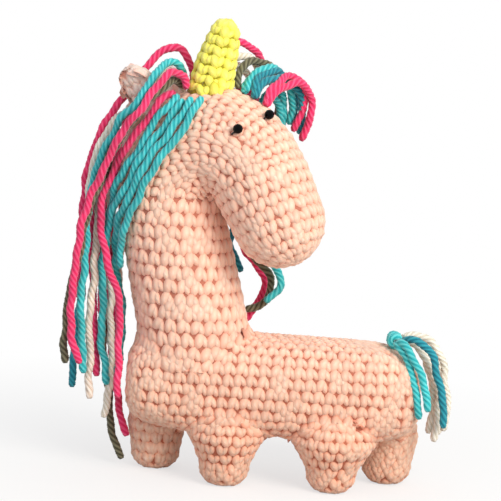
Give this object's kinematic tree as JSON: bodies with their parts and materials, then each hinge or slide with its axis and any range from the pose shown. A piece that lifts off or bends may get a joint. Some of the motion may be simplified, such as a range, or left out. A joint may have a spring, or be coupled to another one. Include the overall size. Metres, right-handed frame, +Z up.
{
  "type": "crochet unicorn soft toy",
  "caption": "Stuffed crochet unicorn standing on stub legs, with an upright neck, a head looking back over its body, a small horn, ears, bead eyes and a yarn mane and tail.",
  "frame": {"origin": "on the floor, under the middle of the toy's bounding box without its mane and tail yarn", "axes": "+Z up, +X from the neck end to the tail end, +Y to the toy's own right side"},
  "size_m": [0.177, 0.0725, 0.2065],
  "materials": {
    "peach_cotton_crochet": "matt plied cotton, single crochet",
    "pale_peach_cotton_crochet": "matt plied cotton, single crochet",
    "yellow_cotton_crochet": "matt plied cotton, single crochet",
    "polyester_fibre": "loose white fibre",
    "black_glass_bead": "polished opaque black bead",
    "black_sewing_thread": "thin black thread",
    "turquoise_yarn": "plied yarn",
    "hot_pink_yarn": "plied yarn",
    "olive_yarn": "plied yarn",
    "white_yarn": "plied yarn",
    "cream_yarn": "plied yarn",
    "teal_yarn": "plied yarn"
  },
  "bodies": {
    "toy": {"torso_cover": "peach_cotton_crochet", "neck_cover": "peach_cotton_crochet", "head_cover": "peach_cotton_crochet", "front_left_leg_cover": "peach_cotton_crochet", "front_right_leg_cover": "peach_cotton_crochet", "rear_left_leg_cover": "peach_cotton_crochet", "rear_right_leg_cover": "peach_cotton_crochet", "torso_filling": "polyester_fibre", "neck_filling": "polyester_fibre", "head_filling": "polyester_fibre", "front_left_leg_filling": "polyester_fibre", "front_right_leg_filling": "polyester_fibre", "rear_left_leg_filling": "polyester_fibre", "rear_right_leg_filling": "polyester_fibre", "horn_filling": "polyester_fibre", "horn_cover": "yellow_cotton_crochet", "left_eye_bead": "black_glass_bead", "left_eye_thread": "black_sewing_thread", "right_eye_bead": "black_glass_bead", "right_eye_thread": "black_sewing_thread", "left_turquoise_1": "turquoise_yarn", "left_turquoise_2": "turquoise_yarn", "left_turquoise_3": "turquoise_yarn", "left_turquoise_4": "turquoise_yarn", "left_turquoise_5": "turquoise_yarn", "right_turquoise_1": "turquoise_yarn", "right_turquoise_2": "turquoise_yarn", "right_turquoise_3": "turquoise_yarn", "left_pink_1": "hot_pink_yarn", "left_pink_2": "hot_pink_yarn", "left_pink_3": "hot_pink_yarn", "left_pink_4": "hot_pink_yarn", "left_pink_5": "hot_pink_yarn", "right_pink_1": "hot_pink_yarn", "right_pink_3": "hot_pink_yarn", "right_pink_4": "hot_pink_yarn", "right_pink_5": "hot_pink_yarn", "left_olive_1": "olive_yarn", "right_olive_1": "olive_yarn", "right_olive_2": "olive_yarn", "left_white_1": "white_yarn", "left_white_2": "white_yarn", "right_white_1": "white_yarn", "left_cream_1": "cream_yarn", "right_cream_1": "cream_yarn", "left_teal_1": "teal_yarn", "right_teal_1": "teal_yarn", "right_teal_2": "teal_yarn"},
    "left_ear": {"left_ear": "pale_peach_cotton_crochet"},
    "right_ear": {"right_ear": "pale_peach_cotton_crochet"},
    "tail": {"tail_knot": "turquoise_yarn", "tail_turquoise_1": "turquoise_yarn", "tail_white_1": "white_yarn", "tail_white_2": "white_yarn", "tail_white_3": "white_yarn", "tail_teal_1": "teal_yarn"}
  },
  "joints": [
    {"name": "left_ear_fold", "type": "hinge", "parent": "toy", "child": "left_ear", "pos_m": [-0.05828, 0.0003, 0.1631], "axis": [0.9272, -0.3746, 0], "range_deg": [0, 25], "stiffness_Nm_per_rad": 0.004},
    {"name": "right_ear_fold", "type": "hinge", "parent": "toy", "child": "right_ear", "pos_m": [-0.05028, 0.02, 0.1631], "axis": [-0.9272, 0.3746, 0], "range_deg": [0, 25], "stiffness_Nm_per_rad": 0.004},
    {"name": "tail_lift", "type": "hinge", "parent": "toy", "child": "tail", "pos_m": [0.05815, 0.00661, 0.0687], "axis": [0, -1, 0], "range_deg": [0, 80]}
  ]
}
